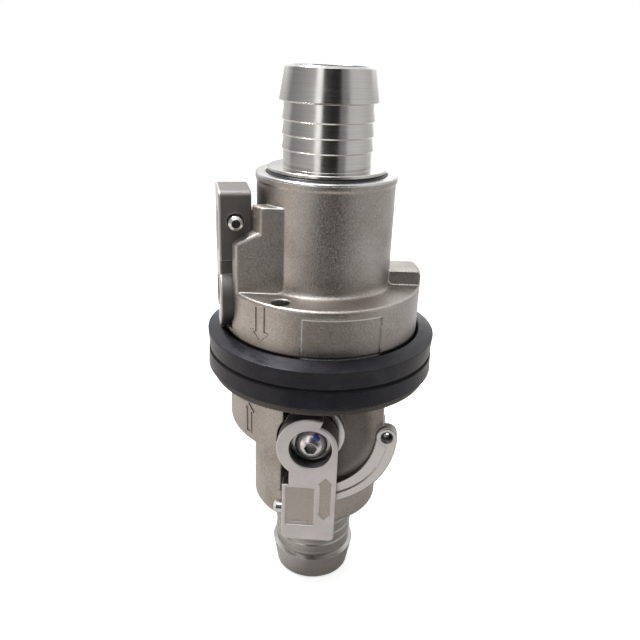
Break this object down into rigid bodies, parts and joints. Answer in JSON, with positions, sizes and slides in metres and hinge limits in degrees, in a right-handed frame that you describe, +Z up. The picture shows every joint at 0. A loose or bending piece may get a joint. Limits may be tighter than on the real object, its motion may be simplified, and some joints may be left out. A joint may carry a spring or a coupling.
{
  "type": "dry break coupling",
  "caption": "Hose coupling of two bayonet halves, each with a barbed hose tail, a lever-operated ball valve and a rubber bumper ring.",
  "frame": {"origin": "centre of the lower hose tail's end face, on the main axis", "axes": "+Z up along the main axis towards the upper hose tail; -Y is the lower lever's outward axis"},
  "size_m": [0.104, 0.104, 0.248],
  "materials": {
    "cast_steel": "bead-blasted stainless casting",
    "turned_steel": "turned stainless",
    "lever_steel": "satin stainless casting",
    "bright_steel": "polished stainless",
    "rubber": "matt moulded rubber",
    "seal_rubber": "smooth rubber",
    "seat_plastic": "white fluoroplastic"
  },
  "bodies": {
    "lower_half": {"lower_body": "cast_steel", "lower_bumper": "rubber", "lower_hose_tail": "turned_steel", "lower_tail_o_ring": "seal_rubber", "lower_front_seat": "seat_plastic", "lower_rear_seat": "seat_plastic", "lower_seat_carrier": "turned_steel", "lower_carrier_o_ring": "seal_rubber", "lower_thrust_washer": "seat_plastic", "lower_stem_packing": "seat_plastic", "lower_gland_nut": "turned_steel"},
    "upper_half": {"upper_body": "cast_steel", "upper_bumper": "rubber", "upper_hose_tail": "turned_steel", "upper_tail_o_ring": "seal_rubber", "upper_front_seat": "seat_plastic", "upper_rear_seat": "seat_plastic", "upper_seat_carrier": "turned_steel", "upper_carrier_o_ring": "seal_rubber", "upper_thrust_washer": "seat_plastic", "upper_stem_packing": "seat_plastic", "upper_gland_nut": "turned_steel", "face_seal": "seal_rubber"},
    "lower_lever_set": {"lower_lever": "lever_steel", "lower_lever_washer": "bright_steel", "lower_lever_screw": "bright_steel", "lower_stem": "turned_steel", "lower_ball": "bright_steel", "lower_lock_dowel": "bright_steel", "lower_lock_spring": "bright_steel"},
    "upper_lever_set": {"upper_lever": "lever_steel", "upper_lever_washer": "bright_steel", "upper_lever_screw": "bright_steel", "upper_stem": "turned_steel", "upper_ball": "bright_steel", "upper_lock_dowel": "bright_steel", "upper_lock_spring": "bright_steel"},
    "lower_pin": {"lower_lock_pin": "bright_steel"},
    "upper_pin": {"upper_lock_pin": "bright_steel"}
  },
  "joints": [
    {"name": "coupling_twist", "type": "hinge", "parent": "lower_half", "child": "upper_half", "pos_m": [0, 0, 0.127], "axis": [0, 0, 1], "range_deg": [-15, 0]},
    {"name": "lower_lever_turn", "type": "hinge", "parent": "lower_half", "child": "lower_lever_set", "pos_m": [0, 0, 0.096], "axis": [0, -1, 0], "range_deg": [0, 90]},
    {"name": "upper_lever_turn", "type": "hinge", "parent": "upper_half", "child": "upper_lever_set", "pos_m": [0, 0, 0.152], "axis": [-0.9659, -0.2588, 0], "range_deg": [0, 90]},
    {"name": "lower_pin_push", "type": "slide", "parent": "lower_lever_set", "child": "lower_pin", "axis": [1, 0, 0], "range_m": [0, 0.003], "stiffness_N_per_m": 400, "springref_m": -0.004, "deforming": ["lower_lock_spring"]},
    {"name": "upper_pin_push", "type": "slide", "parent": "upper_lever_set", "child": "upper_pin", "axis": [-0.2588, 0.9659, 0], "range_m": [0, 0.003], "stiffness_N_per_m": 400, "springref_m": -0.004, "deforming": ["upper_lock_spring"]}
  ]
}
